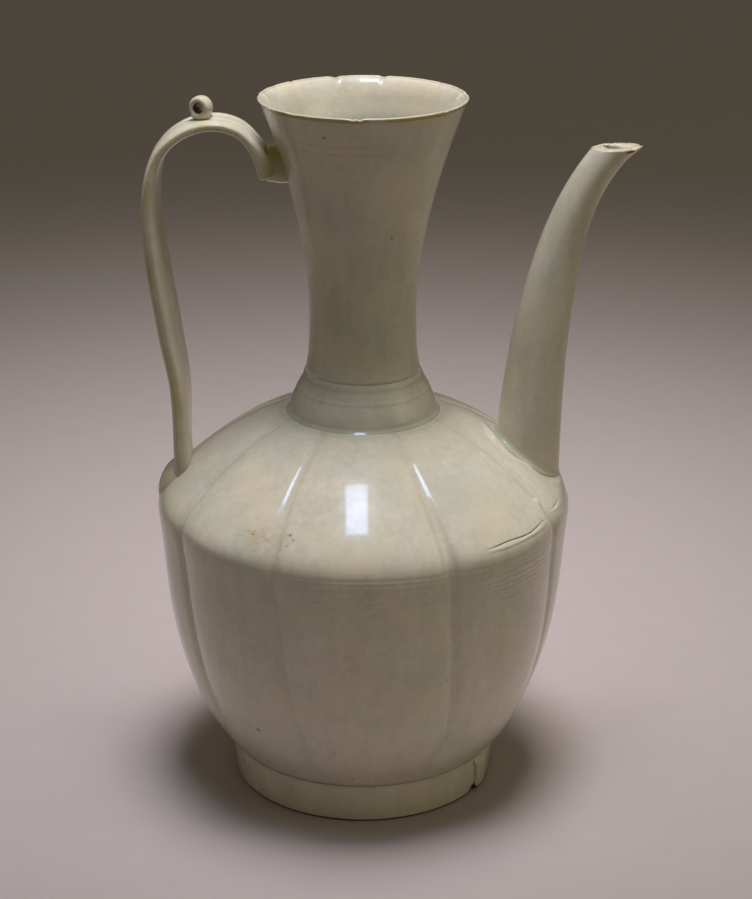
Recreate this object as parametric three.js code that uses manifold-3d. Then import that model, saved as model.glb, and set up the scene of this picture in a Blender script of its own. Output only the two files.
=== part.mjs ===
// Porcelain ewer: a lobed melon body on a foot ring, a tall trumpet neck, a long curved spout
// and a strap handle with a small tie loop on its crown.
// Millimetres, +Z up. The origin is on the table plane, at the middle of the overall footprint.
// The handle reaches out along -X and the spout along +X from the pot's own upright axis.

import * as THREE from 'three';
import { mergeVertices } from 'three/addons/utils/BufferGeometryUtils.js';
import Module from 'manifold-3d';

const wasm = await Module();
wasm.setup();

// Driving dimensions of the foot ring
const footHeight = 15.5;
const footBottomRadius = 47.5;
const footTopRadius = 49.8;
const footRingWidth = 7.5;
const footBottomBevel = 1.2;
const footRingTaper = 1;

// Driving dimensions of the lobed body
const lobeCount = 8;
const bodyHeight = 96.5;
const bodyBaseRadius = 50.4;
const bodyWidestRadius = 75.35;
const bodyWall = 4.2;
const bodyFloor = 5.5;
const bodyFloorInset = 9;
const bodyFloorFillet = 3;
const grooveDepth = 2.3;
const grooveSharpness = 2.6;
const lobeTwistDegrees = 8;
const lobeFadeHeight = 22;

// Driving dimensions of the shoulder
const shoulderRise = 32.4;
const shoulderSetback = 0.6;
const shoulderTopRadius = 30.4;
const shoulderWall = 4;

// Driving dimensions of the collar
const collarHeight = 16;
const collarBaseRadius = 28.6;
const collarLip = 1.8;
const collarRidgeRadius = 22.5;
const collarRidgeStep = 0.3;

// Driving dimensions of the neck
const neckHeight = 99.6;
const neckBaseRadius = 21.9;
const neckWaistRadius = 19.4;
const neckWaistHeight = 19.5;
const neckFlarePower = 1.87;
const neckFootFillet = 3.5;
const mouthRadius = 37;
const neckWall = 3.4;
const lipWall = 2.2;

// Driving dimensions of the spout
const spoutRootInset = 14.75;
const spoutReach = 98.4;
const spoutMouthDrop = 17.9;
const spoutRootLean = 1.1;
const spoutRiseLean = 6;
const spoutTipSetback = 0.6;
const spoutTipOverrun = 7.6;
const spoutRootRadius = 12.5;
const spoutTipRadius = 5.2;
const spoutRootWall = 3.2;
const spoutTipWall = 2;
const pouringHoleRadius = 5.5;
const pouringHoleTiltDegrees = 25.7;

// Driving dimensions of the strap handle
const handleReach = 75.7;
const handleCrownDrop = 9.4;
const handleRootDrop = 27.8;
const handleRootGap = 7.7;
const handleRiseGap = 9.8;
const handleFootInset = 8.35;
const handleFootFlick = 0.2;
const strapWidth = 17.5;
const strapCrownThickness = 3.4;
const strapFootThickness = 5.6;

// Driving dimensions of the clay pads and the tie loop
const upperPadHeight = 13;
const upperPadWidth = 14;
const upperPadDepth = 16;
const upperPadOutset = 3;
const upperPadDrop = 1.8;
const footPadHeight = 20.5;
const footPadWidth = 18;
const footPadThickness = 14;
const footPadTiltDegrees = 24;
const footPadOutset = 1.9;
const footPadLift = 3.6;
const loopRadius = 4.2;
const loopHoleRadius = 1.7;
const loopLength = 6;
const loopInnerBevel = 0.8;
const loopOuterBevel = 1.2;
const loopSink = 0.2;
const loopPosition = 0.19;
const saddleSpread = 2;
const saddleRise = 2.6;
const saddleTrail = 0.8;

// Running clearance between fired pieces that touch along a slope
const seatGap = 0.3;

// Levels and places that follow from the driving dimensions
const bodyBase = footHeight;
const seamLevel = bodyBase + bodyHeight;
const collarLevel = seamLevel + shoulderRise;
const neckLevel = collarLevel + collarHeight;
const rimLevel = neckLevel + neckHeight;
const shoulderSeamRadius = bodyWidestRadius - shoulderSetback;
const spoutRootAxisRadius = shoulderSeamRadius - spoutRootInset;
const handleFootRadius = shoulderSeamRadius - handleFootInset;
const strapReach = handleReach + strapFootThickness / 2;
const potAxis = (strapReach - spoutReach) / 2;

// Smoothness of the solids
const aroundBody = lobeCount * 8;
const aroundNeck = 40;
const aroundSpout = 24;

function smoothStep(low, high, value) {
  const t = Math.min(Math.max((value - low) / (high - low), 0), 1);
  return t * t * (3 - 2 * t);
}

function mix(from, to, share) {
  return from + (to - from) * share;
}

// A smooth outline through a few points, as evenly spread points
function smoothOutline(points, steps) {
  const curve = new THREE.SplineCurve(points.map(([r, z]) => new THREE.Vector2(r, z)));
  return curve.getPoints(steps);
}

// Radius of an outline at a level, by straight lines between its points
function radiusAt(outline, level) {
  const index = outline.findIndex((point) => point.y >= level);
  if (index <= 0) {
    return index === 0 ? outline[0].x : outline.at(-1).x;
  }
  const below = outline[index - 1];
  const above = outline[index];
  return mix(below.x, above.x, (level - below.y) / (above.y - below.y));
}

// An outline moved outwards along its own normals
function offsetOutline(outline, distance) {
  return outline.map((point, i) => {
    const before = outline[Math.max(i - 1, 0)];
    const after = outline[Math.min(i + 1, outline.length - 1)];
    const along = after.clone().sub(before).normalize();
    return new THREE.Vector2(point.x + along.y * distance, point.y - along.x * distance);
  });
}

// A round solid turned about +Z from a closed outline of radius and level
function turned(outline, segments) {
  const geometry = new THREE.LatheGeometry(outline, segments);
  geometry.rotateX(Math.PI / 2);
  return geometry;
}

function closedOutline(points) {
  return [...points, points[0].clone()];
}

// A three.js geometry as a closed solid, and back
function toSolid(geometry) {
  const bare = geometry.index ? geometry.toNonIndexed() : geometry.clone();
  bare.deleteAttribute('normal');
  bare.deleteAttribute('uv');
  const merged = mergeVertices(bare, 1e-4);
  const source = merged.index.array;
  const triangles = [];
  for (let i = 0; i < source.length; i += 3) {
    const [a, b, c] = [source[i], source[i + 1], source[i + 2]];
    if (a !== b && b !== c && c !== a) {
      triangles.push(a, b, c);
    }
  }
  return new wasm.Manifold(new wasm.Mesh({
    numProp: 3,
    vertProperties: Float32Array.from(merged.attributes.position.array),
    triVerts: Uint32Array.from(triangles),
  }));
}

function toGeometry(solid) {
  const mesh = solid.getMesh();
  const geometry = new THREE.BufferGeometry();
  geometry.setAttribute('position', new THREE.BufferAttribute(mesh.vertProperties, 3));
  geometry.setIndex(new THREE.BufferAttribute(mesh.triVerts, 1));
  return geometry;
}

// Lobes: eight soft panels meet at pressed grooves, which lean a little up the body
// and fade out just above the foot
function pressLobes(geometry) {
  const panel = (2 * Math.PI) / lobeCount;
  const position = geometry.attributes.position;
  for (let i = 0; i < position.count; i += 1) {
    const x = position.getX(i);
    const y = position.getY(i);
    const z = position.getZ(i);
    const radius = Math.hypot(x, y);
    const angle = Math.round(Math.atan2(y, x) / panel * 8) / 8 * panel;
    const share = Math.abs(angle / panel - Math.round(angle / panel)) * 2;
    const fade = smoothStep(bodyBase, bodyBase + lobeFadeHeight, z);
    const pressed = Math.max(radius - grooveDepth * fade * share ** grooveSharpness, 0);
    const lean = THREE.MathUtils.degToRad(lobeTwistDegrees) * (seamLevel - z) / (collarLevel - bodyBase);
    const turn = Math.atan2(y, x) + lean * fade;
    position.setXY(i, pressed * Math.cos(turn), pressed * Math.sin(turn));
  }
  return geometry;
}

// A straight piece, drawn along +Z from 0 to 1, is laid along a curve in the XZ plane.
// Its x is taken square to the curve and its y stays level.
function layAlong(geometry, curve, sizeAt) {
  const position = geometry.attributes.position;
  for (let i = 0; i < position.count; i += 1) {
    const share = Math.min(Math.max(position.getZ(i), 0), 1);
    const centre = curve.getPointAt(share);
    const tangent = curve.getTangentAt(share);
    const size = sizeAt(share);
    const across = position.getX(i) * size.x;
    position.setXYZ(
      i,
      centre.x + tangent.z * across,
      position.getY(i) * size.y,
      centre.z - tangent.x * across,
    );
  }
  return geometry;
}

function spline(points) {
  return new THREE.CatmullRomCurve3(points.map(([x, z]) => new THREE.Vector3(x, 0, z)), false, 'centripetal');
}

// Outlines of the body, the shoulder, the collar and the neck, from the foot to the lip.
// The body's swell is given as shares of its height and of its growth in radius.
const bodyOutline = smoothOutline(
  [[0, 0], [0.34, 0.11], [0.56, 0.235], [0.74, 0.38], [0.86, 0.525], [0.93, 0.67], [0.97, 0.81], [1, 0.92]]
    .map(([growth, height]) => [
      mix(bodyBaseRadius, bodyWidestRadius, growth),
      bodyBase + bodyHeight * height,
    ])
    .concat([[shoulderSeamRadius, seamLevel]]),
  12,
);

// The shoulder's fall is given as shares of its rise and of its loss in radius.
const shoulderOutline = smoothOutline(
  [[0, 0], [0.1, 0.2], [0.27, 0.42], [0.47, 0.63], [0.74, 0.85], [1, 1]]
    .map(([loss, rise]) => [
      mix(shoulderSeamRadius, shoulderTopRadius, loss),
      seamLevel + shoulderRise * rise,
    ]),
  9,
);

const neckOutline = [0, 0.055, 0.12, 0.2, 0.32, 0.44, 0.56, 0.67, 0.77, 0.86, 0.94, 1].map((share) => {
  const level = neckHeight * share;
  const rise = Math.max((level - neckWaistHeight) / (neckHeight - neckWaistHeight), 0);
  const flare = (mouthRadius - neckWaistRadius) * rise ** neckFlarePower;
  const foot = (neckBaseRadius - neckWaistRadius) * Math.exp(-level / neckFootFillet);
  return new THREE.Vector2(neckWaistRadius + flare + foot, neckLevel + level);
});

const boreRadius = neckBaseRadius - neckWall;

// Foot ring: a low ring that leans outwards a little and leaves the base hollow beneath
function footRing() {
  const innerBottom = footBottomRadius - footRingWidth;
  const innerTop = footTopRadius - footRingWidth - footRingTaper;
  return turned(closedOutline([
    new THREE.Vector2(innerBottom + footBottomBevel, 0),
    new THREE.Vector2(footBottomRadius - footBottomBevel, 0),
    new THREE.Vector2(footBottomRadius, footBottomBevel),
    new THREE.Vector2(mix(footBottomRadius, footTopRadius, 0.55), footHeight * 0.62),
    new THREE.Vector2(footTopRadius, footHeight),
    new THREE.Vector2(innerTop, footHeight),
    new THREE.Vector2(innerBottom, footBottomBevel),
  ]), aroundBody);
}

// Lower body: the open lobed bowl with its floor, up to the seam at the shoulder
function lowerBody() {
  const floorLevel = bodyBase + bodyFloor;
  const inside = offsetOutline(bodyOutline, -bodyWall)
    .filter((point) => point.y > floorLevel + bodyFloorFillet && point.y < seamLevel - bodyWall / 2);
  const insideRim = new THREE.Vector2(shoulderSeamRadius - bodyWall, seamLevel);
  const floorEdge = new THREE.Vector2(radiusAt(bodyOutline, floorLevel) - bodyFloorInset, floorLevel);
  return pressLobes(turned([
    new THREE.Vector2(0, bodyBase),
    ...bodyOutline,
    insideRim,
    ...inside.reverse(),
    floorEdge,
    new THREE.Vector2(0, floorLevel),
  ], aroundBody));
}

// Shoulder: the lobed dome from the seam to the collar, with the pouring hole behind the spout
function shoulder() {
  const inside = offsetOutline(shoulderOutline, -shoulderWall)
    .filter((point) => point.y > seamLevel + shoulderWall / 4 && point.x > boreRadius + shoulderWall / 2);
  const dome = toSolid(pressLobes(turned(closedOutline([
    new THREE.Vector2(shoulderSeamRadius - bodyWall, seamLevel),
    ...shoulderOutline,
    new THREE.Vector2(boreRadius, collarLevel),
    new THREE.Vector2(boreRadius, collarLevel - shoulderWall),
    ...inside.reverse(),
  ]), aroundBody)));
  const drill = new THREE.CylinderGeometry(pouringHoleRadius, pouringHoleRadius, shoulderWall * 8, 16);
  drill.rotateX(Math.PI / 2);
  drill.rotateY(THREE.MathUtils.degToRad(pouringHoleTiltDegrees));
  drill.translate(spoutRootAxisRadius, 0, levelOnShoulder(spoutRootAxisRadius));
  return toGeometry(dome.subtract(toSolid(drill)));
}

function levelOnShoulder(radius) {
  const index = shoulderOutline.findIndex((point) => point.x <= radius);
  const below = shoulderOutline[index - 1];
  const above = shoulderOutline[index];
  return mix(below.y, above.y, (below.x - radius) / (below.x - above.x));
}

// Collar: a flared, stepped ring that covers the joint between shoulder and neck
function collar() {
  const top = collarLevel + collarHeight;
  return turned(closedOutline([
    new THREE.Vector2(boreRadius, collarLevel),
    new THREE.Vector2(collarBaseRadius, collarLevel),
    new THREE.Vector2(collarBaseRadius, collarLevel + collarLip),
    new THREE.Vector2(mix(collarBaseRadius, collarRidgeRadius, 0.5), collarLevel + collarHeight * 0.3),
    new THREE.Vector2(mix(collarBaseRadius, collarRidgeRadius, 0.9), collarLevel + collarHeight * 0.58),
    new THREE.Vector2(collarRidgeRadius + collarRidgeStep, collarLevel + collarHeight * 0.74),
    new THREE.Vector2(neckBaseRadius + collarRidgeStep, collarLevel + collarHeight * 0.84),
    new THREE.Vector2(neckBaseRadius, top),
    new THREE.Vector2(boreRadius, top),
  ]), aroundNeck);
}

// Neck: a trumpet with its waist low down and a thin, slightly rounded lip
function neck() {
  const inside = neckOutline.slice(1, -1).map((point) => {
    const share = (point.y - neckLevel) / neckHeight;
    return new THREE.Vector2(point.x - mix(neckWall, lipWall, share), point.y);
  });
  return turned(closedOutline([
    ...neckOutline.slice(0, -1),
    new THREE.Vector2(mouthRadius, rimLevel - lipWall / 2),
    new THREE.Vector2(mouthRadius - lipWall / 3, rimLevel),
    new THREE.Vector2(mouthRadius - lipWall, rimLevel),
    ...inside.reverse(),
    new THREE.Vector2(boreRadius, neckLevel),
  ]), aroundNeck);
}

// The whole outside of body and shoulder as one filled solid, a clearance larger
function bodyMould() {
  const outside = offsetOutline([...bodyOutline, ...shoulderOutline.slice(1)], seatGap);
  return toSolid(pressLobes(turned([
    new THREE.Vector2(0, outside[0].y),
    ...outside,
    new THREE.Vector2(0, outside.at(-1).y),
  ], aroundBody)));
}

// The outside of the neck as one filled solid, a clearance larger
function neckMould() {
  const outside = offsetOutline(neckOutline, seatGap);
  return toSolid(turned([
    new THREE.Vector2(0, outside[0].y),
    ...outside,
    new THREE.Vector2(0, outside.at(-1).y),
  ], aroundNeck));
}

// Spout: a long tapering tube that stands on the shoulder, leans out and is cut level at its mouth
const spoutMouthLevel = rimLevel - spoutMouthDrop;
const spoutLine = new THREE.CubicBezierCurve3(
  new THREE.Vector3(spoutRootAxisRadius, 0, seamLevel),
  new THREE.Vector3(spoutRootAxisRadius + spoutRootLean, 0, mix(seamLevel, spoutMouthLevel, 0.375)),
  new THREE.Vector3(spoutRootAxisRadius + spoutRiseLean, 0, mix(seamLevel, spoutMouthLevel, 0.885)),
  new THREE.Vector3(spoutReach - spoutTipSetback, 0, spoutMouthLevel + spoutTipOverrun),
);

function spoutTube(rootRadius, tipRadius, curve) {
  const tube = new THREE.CylinderGeometry(1, 1, 1, aroundSpout, 16);
  tube.rotateX(Math.PI / 2);
  tube.translate(0, 0, 0.5);
  return toSolid(layAlong(tube, curve, (share) => {
    const radius = mix(rootRadius, tipRadius, share ** 1.15);
    return { x: radius, y: radius };
  }));
}

function spout(mould) {
  const outer = spoutTube(spoutRootRadius, spoutTipRadius, spoutLine);
  const bore = spoutTube(spoutRootRadius - spoutRootWall, spoutTipRadius - spoutTipWall, spoutLine);
  const size = spoutTipRadius * 10;
  const above = new THREE.BoxGeometry(size, size, size);
  above.translate(spoutReach, 0, spoutMouthLevel + size / 2);
  return outer.subtract(bore).subtract(mould).subtract(toSolid(above));
}

// Strap handle: leaves the neck, arches over its crown and comes down to the shoulder.
// Its section has three soft ridges on the outer face.
const crownLevel = rimLevel - handleCrownDrop;
const rootLevel = rimLevel - handleRootDrop;
const strapLine = spline([
  [-radiusAt(neckOutline, rootLevel) - handleRootGap, rootLevel],
  [-radiusAt(neckOutline, rootLevel) - handleRiseGap, mix(rootLevel, crownLevel, 0.47)],
  [-handleReach * 0.575, mix(rootLevel, crownLevel, 0.875)],
  [-handleReach * 0.7, crownLevel],
  [-handleReach * 0.842, mix(rootLevel, crownLevel, 0.83)],
  [-handleReach * 0.953, mix(rootLevel, crownLevel, 0.36)],
  [-handleReach * 0.996, mix(seamLevel, crownLevel, 0.797)],
  [-handleReach * 0.992, mix(seamLevel, crownLevel, 0.644)],
  [-mix(handleFootRadius, handleReach, 0.53), mix(seamLevel, crownLevel, 0.457)],
  [-mix(handleFootRadius, handleReach, 0.09), mix(seamLevel, crownLevel, 0.293)],
  [-handleFootRadius, mix(seamLevel, crownLevel, 0.135)],
  [-handleFootRadius - handleFootFlick, mix(seamLevel, crownLevel, 0.04)],
]);

function strapSection() {
  const outline = new THREE.Shape();
  outline.moveTo(-0.5, 0.4);
  outline.quadraticCurveTo(-0.5, 0.5, 0.1, 0.5);
  outline.quadraticCurveTo(0.5, 0.48, 0.5, 0.34);
  outline.quadraticCurveTo(0.44, 0.24, 0.36, 0.18);
  outline.quadraticCurveTo(0.5, 0.12, 0.5, 0);
  outline.quadraticCurveTo(0.5, -0.12, 0.36, -0.18);
  outline.quadraticCurveTo(0.44, -0.24, 0.5, -0.34);
  outline.quadraticCurveTo(0.5, -0.48, 0.1, -0.5);
  outline.quadraticCurveTo(-0.5, -0.5, -0.5, -0.4);
  return outline;
}

function strap(growth) {
  const bar = new THREE.ExtrudeGeometry(strapSection(), {
    depth: 1,
    steps: 38,
    bevelEnabled: false,
    curveSegments: 2,
  });
  return toSolid(layAlong(bar, strapLine, (share) => ({
    x: mix(strapCrownThickness, strapFootThickness, smoothStep(0.15, 0.6, share)) + growth * 2,
    y: strapWidth + growth * 2,
  })));
}

// A rounded wad of clay of the given half sizes
function wad(halfX, halfY, halfZ) {
  const ball = new THREE.SphereGeometry(1, 20, 12);
  ball.rotateX(Math.PI / 2);
  ball.scale(halfX, halfY, halfZ);
  return ball;
}

// Upper pad: the luting clay between the strap's turned-down end and the neck
function upperPad(neckBlock) {
  const neckSide = -radiusAt(neckOutline, rootLevel + upperPadHeight / 2);
  const ball = wad(upperPadDepth / 2, upperPadWidth / 2, upperPadHeight / 2);
  ball.translate(neckSide - upperPadOutset, 0, rootLevel + upperPadHeight / 2 - upperPadDrop);
  const beyondStrap = new THREE.BoxGeometry(upperPadDepth * 2, upperPadWidth * 3, upperPadHeight * 5);
  beyondStrap.translate(strapLine.getPointAt(0).x - upperPadDepth, 0, rootLevel);
  return toSolid(ball).subtract(neckBlock).subtract(strap(seatGap)).subtract(toSolid(beyondStrap));
}

// Foot pad: the strap's lower end, pressed on the shoulder and folded out over its edge
function footPad(growth) {
  const ball = wad(footPadThickness / 2 + growth, footPadWidth / 2 + growth, footPadHeight / 2 + growth);
  ball.rotateY(THREE.MathUtils.degToRad(footPadTiltDegrees));
  ball.translate(-handleFootRadius - footPadOutset, 0, seamLevel + footPadLift);
  return toSolid(ball);
}

// Tie loop: a bored bead of clay on a small saddle, on the crown of the strap
function tieLoop() {
  const crown = strapLine.getPointAt(loopPosition);
  const half = loopLength / 2;
  const ring = turned(closedOutline([
    new THREE.Vector2(loopHoleRadius, -half + loopInnerBevel),
    new THREE.Vector2(loopHoleRadius + loopInnerBevel, -half),
    new THREE.Vector2(loopRadius - loopOuterBevel, -half),
    new THREE.Vector2(loopRadius, -half + loopOuterBevel),
    new THREE.Vector2(loopRadius, half - loopOuterBevel),
    new THREE.Vector2(loopRadius - loopOuterBevel, half),
    new THREE.Vector2(loopHoleRadius + loopInnerBevel, half),
    new THREE.Vector2(loopHoleRadius, half - loopInnerBevel),
  ]), 20);
  ring.rotateX(Math.PI / 2);
  const centreLevel = crown.z + strapCrownThickness / 2 + loopRadius - loopSink;
  ring.translate(crown.x, 0, centreLevel);
  const saddle = wad(loopRadius + saddleSpread, half + saddleTrail, saddleRise);
  saddle.translate(crown.x + saddleTrail, 0, crown.z + strapCrownThickness / 2);
  const slope = strapLine.getTangentAt(loopPosition);
  const depth = loopRadius * 5;
  const below = new THREE.BoxGeometry(depth * 3, strapWidth * 2, depth);
  below.translate(0, 0, -depth / 2);
  below.rotateY(Math.atan2(slope.z, -slope.x));
  below.translate(crown.x, 0, crown.z);
  return toSolid(ring).add(toSolid(saddle)).subtract(strap(seatGap)).subtract(toSolid(below));
}

// One glaze for every piece, and bare fired clay on the foot
const glaze = { color: 0xc9c3a8, roughness: 0.18, metalness: 0 };
const bareClay = { color: 0xb9a88c, roughness: 0.75, metalness: 0 };

const ewer = new THREE.Group();
ewer.position.x = potAxis;

function addPiece(name, geometry, finish) {
  const mesh = new THREE.Mesh(geometry, new THREE.MeshStandardMaterial(finish));
  mesh.name = name;
  ewer.add(mesh);
}

const mould = bodyMould();
const neckBlock = neckMould();

addPiece('foot_ring', footRing(), bareClay);
addPiece('lower_body', lowerBody(), glaze);
addPiece('shoulder', shoulder(), glaze);
addPiece('neck_collar', collar(), glaze);
addPiece('neck', neck(), glaze);
addPiece('spout', toGeometry(spout(mould)), glaze);
addPiece('handle_strap', toGeometry(strap(0).subtract(footPad(seatGap)).subtract(mould)), glaze);
addPiece('handle_upper_pad', toGeometry(upperPad(neckBlock)), glaze);
addPiece('handle_foot_pad', toGeometry(footPad(0).subtract(mould)), glaze);
addPiece('tie_loop', toGeometry(tieLoop()), glaze);

export default ewer;
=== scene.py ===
import math

import bpy
import numpy as np
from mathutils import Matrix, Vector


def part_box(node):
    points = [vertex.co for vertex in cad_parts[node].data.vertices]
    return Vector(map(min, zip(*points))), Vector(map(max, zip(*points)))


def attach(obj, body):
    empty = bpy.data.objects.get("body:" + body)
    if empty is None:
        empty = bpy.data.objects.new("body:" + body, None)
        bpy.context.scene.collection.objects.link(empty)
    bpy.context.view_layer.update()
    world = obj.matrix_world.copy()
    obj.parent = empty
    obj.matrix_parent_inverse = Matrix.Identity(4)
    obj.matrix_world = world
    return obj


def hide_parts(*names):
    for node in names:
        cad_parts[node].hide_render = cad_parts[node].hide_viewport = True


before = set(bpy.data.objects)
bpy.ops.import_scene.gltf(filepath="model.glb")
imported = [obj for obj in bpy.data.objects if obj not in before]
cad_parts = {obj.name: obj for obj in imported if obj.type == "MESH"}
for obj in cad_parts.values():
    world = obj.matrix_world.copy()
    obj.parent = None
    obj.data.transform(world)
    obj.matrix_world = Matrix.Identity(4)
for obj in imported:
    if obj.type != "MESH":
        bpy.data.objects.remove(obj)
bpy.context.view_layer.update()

# The view, the floor and the lamps
# The ewer stands on a pale seamless floor. A tall light box in front gives the glints, a wide panel
# overhead lights the shoulder and the floor, and a faint fill comes from the right.
# Shapes are worked out in millimetres about the pot's own axis, and MM turns them into metres.
MM = 0.001
neck_low, neck_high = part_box("neck")
pot_axis = (neck_low.x + neck_high.x) / 2 / MM
rim_level = neck_high.z / MM

view_width = 752
view_height = 899
focal_pixels = 2250
axis_pixel = 363
camera_distance = 776.2
camera_level = 423.3
camera_pitch = 20.81
sensor_size = 24

camera_data = bpy.data.cameras.new("camera")
camera_data.sensor_fit = "VERTICAL"
camera_data.sensor_height = sensor_size
camera_data.lens = focal_pixels * sensor_size / view_height
camera_data.shift_x = (view_width / 2 - axis_pixel) / view_height
camera = bpy.data.objects.new("camera", camera_data)
camera.location = (pot_axis * MM, -camera_distance * MM, camera_level * MM)
camera.rotation_euler = (math.radians(90 - camera_pitch), 0, 0)
bpy.context.scene.collection.objects.link(camera)
bpy.context.scene.camera = camera


def colour(red, green, blue):
    """The linear colour of a screen colour given from 0 to 255, with full alpha."""
    shares = [value / 255 for value in (red, green, blue)]
    linear = [s / 12.92 if s <= 0.04045 else ((s + 0.055) / 1.055) ** 2.4 for s in shares]
    return (*linear, 1.0)


class Shade:
    """A shader socket, on which Python's arithmetic adds Math nodes."""

    def __init__(self, tree, socket=None):
        self.tree = tree
        self.socket = socket

    def node(self, kind, settings=None, inputs=None, output=0):
        """Adds a node of that kind: its settings first, then its sockets' values or links."""
        made = self.tree.nodes.new("ShaderNode" + kind)
        for name, value in (settings or {}).items():
            setattr(made, name, value)
        self.fill(made, inputs or {})
        return Shade(self.tree, made.outputs[output])

    def fill(self, node, inputs):
        """Links or sets the sockets of a node, by their names or numbers."""
        for name, value in inputs.items():
            if isinstance(value, Shade):
                self.tree.links.new(value.socket, node.inputs[name])
            else:
                node.inputs[name].default_value = value

    def math(self, operation, first, second=0.0, clamped=False):
        return self.node("Math", {"operation": operation, "use_clamp": clamped}, {0: first, 1: second})

    def __add__(self, other):
        return self.math("ADD", self, other)

    def __sub__(self, other):
        return self.math("SUBTRACT", self, other)

    def __rsub__(self, other):
        return self.math("SUBTRACT", other, self)

    def __mul__(self, other):
        return self.math("MULTIPLY", self, other)

    __radd__ = __add__
    __rmul__ = __mul__

    def clamped(self):
        """The value held between 0 and 1."""
        return self.math("ADD", self, 0.0, clamped=True)

    def rising(self, low, high):
        """0 below low and 1 above high, with a smooth rise between them."""
        return self.node(
            "MapRange",
            {"interpolation_type": "SMOOTHSTEP"},
            {"Value": self, "From Min": low, "From Max": high},
        )


def blend_colours(factor, first, second):
    """A colour that goes from the first to the second as the factor goes from 0 to 1."""
    return factor.node("Mix", {"data_type": "RGBA"}, {0: factor, 6: first, 7: second}, output=2)


def bare_tree(name):
    """A new material with its Principled BSDF, as (material, starting Shade, shader node)."""
    material = bpy.data.materials.new(name)
    material.use_nodes = True
    tree = material.node_tree
    return material, Shade(tree), tree.nodes["Principled BSDF"]


floor_half = 6.0
paper_light = colour(178, 166, 161)
paper_dark = colour(174, 162, 157)
floor_material, paper, floor_shader = bare_tree("floor_paper")
paper_grain = paper.node("TexNoise", None, {"Scale": 900.0, "Detail": 3.0})
paper_tone = blend_colours(paper_grain, paper_light, paper_dark)
paper.fill(floor_shader, {"Base Color": paper_tone, "Roughness": 0.85, "Specular IOR Level": 0.2})
floor_mesh = bpy.data.meshes.new("floor")
floor_corners = [(x * floor_half, y * floor_half, 0) for x, y in ((-1, -1), (1, -1), (1, 1), (-1, 1))]
floor_mesh.from_pydata(floor_corners, [], [(0, 1, 2, 3)])
floor_mesh.materials.append(floor_material)
floor = bpy.data.objects.new("floor", floor_mesh)
bpy.context.scene.collection.objects.link(floor)


def light_box(name, place, target, width, depth, watts, tint, spread=180, reflected=True):
    """A soft rectangular lamp at a place, turned to face a target, both in metres."""
    data = bpy.data.lights.new(name, "AREA")
    data.shape = "RECTANGLE"
    data.size = width
    data.size_y = depth
    data.energy = watts
    data.color = tint
    data.spread = math.radians(spread)
    lamp = bpy.data.objects.new(name, data)
    away = np.subtract(place, target)
    lamp.location = place
    tip = -math.atan2(away[1], math.hypot(away[0], away[2]))
    lamp.rotation_euler = (tip, math.atan2(away[0], away[2]), 0)
    lamp.visible_glossy = reflected
    bpy.context.scene.collection.objects.link(lamp)


pot_place = (pot_axis * MM, 0.0, 0.12)
floor_behind = (pot_axis * MM, 0.16, 0.0)
glint_place = (pot_axis * MM - 0.055, -0.17, 1.25)
panel_place = (pot_axis * MM + 0.04, 0.03, 1.25)
fill_place = (1.3, -0.5, 0.7)
glint_blue = (0.54, 0.68, 1.0)
panel_white = (0.97, 0.95, 1.0)
fill_yellow = (1.0, 0.96, 0.58)
light_box("glint_box", glint_place, pot_place, 0.2, 0.41, 0.42, glint_blue, 64)
light_box("overhead_panel", panel_place, floor_behind, 0.36, 0.5, 1.5, panel_white, 51, False)
light_box("side_fill", fill_place, pot_place, 1.0, 1.0, 1.7, fill_yellow)

world = bpy.data.worlds.new("studio_air")
world.use_nodes = True
air = world.node_tree.nodes["Background"].inputs
air["Color"].default_value = (1.0, 0.95, 0.74, 1)
air["Strength"].default_value = 0.155
bpy.context.scene.world = world
bpy.context.scene.view_settings.view_transform = "Standard"

# Foot ring
# A low turned ring of porcelain clay under the bowl. Its outside is glazed, its underside was
# wiped bare to stand in the kiln, and one firing crack runs up it at the front right.
foot_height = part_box("foot_ring")[1].z / MM
foot_bottom_radius = 48.7
foot_top_radius = 50.6
foot_ring_width = 7.5
foot_taper = 1.0
foot_bevel = 0.3
crack_turn = math.radians(-31.3)
crack_lean = math.radians(3)
crack_half_width = 0.24
crack_depth = 0.75
# How far the clay beside the crack stands out, and how high the chip at its foot reaches
crack_step = 0.7
crack_chip = 1.3


def spread(low, high, count, focuses=(), width=1.0, crowding=0.0):
    """Values from low to high that crowd near the focuses.

    Equal shares of a density that is 1, plus a bell of the given width round each focus."""
    fine = np.linspace(low, high, 6001)
    density = 1 + crowding * sum(bell(fine, focus, width) for focus in focuses)
    total = np.concatenate([[0], np.cumsum((density[1:] + density[:-1]) / 2)])
    return np.interp(np.linspace(0, total[-1], count), total, fine)


def bell(value, centre, width):
    """1 at the centre, falling as e to the minus square of the distance over the width."""
    return np.exp(-(((value - centre) / width) ** 2))


def smooth_step(low, high, value):
    """0 below low, 1 above high and 3t² - 2t³ between them; it falls where low is the greater."""
    t = np.clip((value - low) / (high - low), 0, 1)
    return t * t * (3 - 2 * t)


def mixed(start, end, share):
    """The value that lies that share of the way from start to end."""
    return start + (end - start) * share


def ragged(turn, level, size, seed):
    """Smooth seeded unevenness from about -1 to 1: eight sine waves that run round and up."""
    dice = np.random.default_rng(seed)
    total = 0
    for _ in range(8):
        around = dice.integers(1, max(int(300 / size), 2))
        up = dice.uniform(-1, 1) * 2 * math.pi / size
        total = total + np.sin(around * turn + up * level + dice.uniform(0, 2 * math.pi))
    return total / 4


def points_at(at, places, line):
    """The line's points at those places along it, where its own points lie at the places given."""
    return np.stack([np.interp(at, places, line[:, k]) for k in range(line.shape[1])], -1)


def at_numbers(numbers, line):
    """The line's points at those numbers along it, whole or not."""
    return points_at(numbers, np.arange(len(line)), line)


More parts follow.
